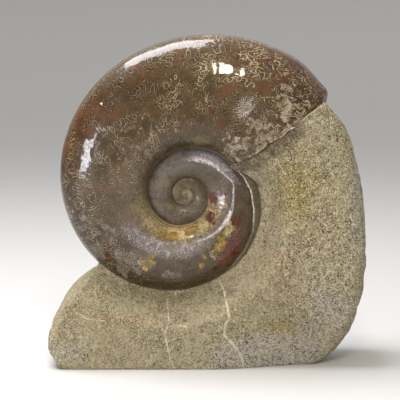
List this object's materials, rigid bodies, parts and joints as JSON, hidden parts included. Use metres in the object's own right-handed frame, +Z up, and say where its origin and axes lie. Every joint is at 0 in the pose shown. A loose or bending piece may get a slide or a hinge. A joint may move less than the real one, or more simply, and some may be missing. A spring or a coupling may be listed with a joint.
{
  "type": "ammonite fossil",
  "caption": "Polished ammonite fossil standing upright in a block of its own sandstone matrix, for display on a shelf or table.",
  "frame": {"origin": "centre of the box that holds the whole fossil, on the plane its base stands on", "axes": "+Z up, +X towards the stone's tall right-hand side as seen from the front, -Y the front; the shell's coiling axis runs along Y"},
  "size_m": [0.2826, 0.0864, 0.2937],
  "materials": {
    "polished_shell": "glossy polish; grey-brown fossil shell with fine frilled suture lines, amber, cream and dark red patches",
    "sandstone": "matt cut and tooled sandstone, beige grey, coarse grained, with a few pale calcite veins"
  },
  "bodies": {
    "root": {"ammonite": "polished_shell", "matrix_stone": "sandstone"}
  },
  "joints": []
}
